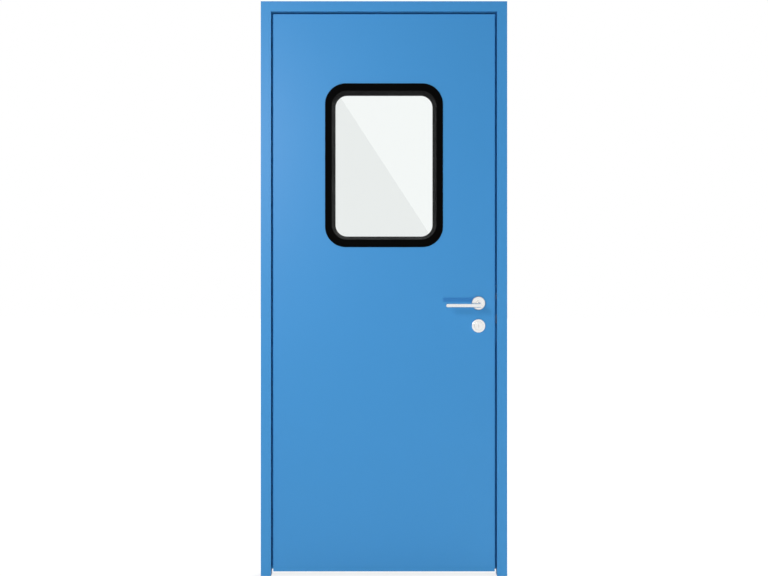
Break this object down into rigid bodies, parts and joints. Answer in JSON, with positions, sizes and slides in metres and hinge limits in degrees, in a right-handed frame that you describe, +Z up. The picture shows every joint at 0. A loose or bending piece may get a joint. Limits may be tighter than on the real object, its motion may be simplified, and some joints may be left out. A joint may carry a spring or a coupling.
{
  "type": "steel utility door",
  "caption": "Single flush steel door in a block frame, with a rounded window, lever handles, a lock and lift-off hinges on the pull side.",
  "frame": {"origin": "on the wall face of the hinge jamb, at floor level, at the middle of the frame's depth", "axes": "+X across the door from the hinge jamb to the lock jamb, +Y from the push side to the pull side, +Z up"},
  "size_m": [0.9, 0.165, 2.1],
  "materials": {
    "frame_paint": "smooth blue powder coat",
    "leaf_paint": "smooth blue powder coat",
    "window_frame_paint": "satin black",
    "glazing": "clear flat glass",
    "rubber_seal": "matt black rubber",
    "satin_steel": "satin stainless steel",
    "hinge_steel": "satin stainless steel",
    "plain_steel": "zinc plated steel",
    "channel_steel": "galvanised steel",
    "seal_carrier": "mill finish aluminium",
    "core_board": "paper honeycomb board"
  },
  "bodies": {
    "frame": {"hinge_jamb": "frame_paint", "lock_jamb": "frame_paint", "head_rail": "frame_paint", "hinge_jamb_seal": "rubber_seal", "lock_jamb_seal": "rubber_seal", "head_seal": "rubber_seal", "strike_plate": "satin_steel", "strike_box": "plain_steel", "hinge_frame_plates": "hinge_steel"},
    "leaf": {"push_skin": "leaf_paint", "pull_skin": "leaf_paint", "leaf_core": "core_board", "bottom_channel": "channel_steel", "drop_seal_carrier": "seal_carrier", "drop_seal_strip": "rubber_seal", "push_window_frame": "window_frame_paint", "pull_window_frame": "window_frame_paint", "window_glass": "glazing", "push_glass_gasket": "rubber_seal", "pull_glass_gasket": "rubber_seal", "lock_case": "plain_steel", "lock_forend": "satin_steel", "latch_bolt": "plain_steel", "dead_bolt": "plain_steel", "push_roses": "satin_steel", "pull_roses": "satin_steel", "lock_cylinder": "satin_steel", "thumb_turn": "satin_steel", "hinge_door_plates": "hinge_steel"},
    "lever": {"levers": "satin_steel", "lever_spindle": "plain_steel"}
  },
  "joints": [
    {"name": "leaf_swing", "type": "hinge", "parent": "frame", "child": "leaf", "pos_m": [0.0255, 0.039, 1.05], "axis": [0, 0, 1], "range_deg": [0, 120]},
    {"name": "lever_turn", "type": "hinge", "parent": "leaf", "child": "lever", "pos_m": [0.796, 0.006, 0.997], "axis": [0, -1, 0], "range_deg": [0, 45], "stiffness_Nm_per_rad": 1.5, "springref_deg": -40.11}
  ]
}
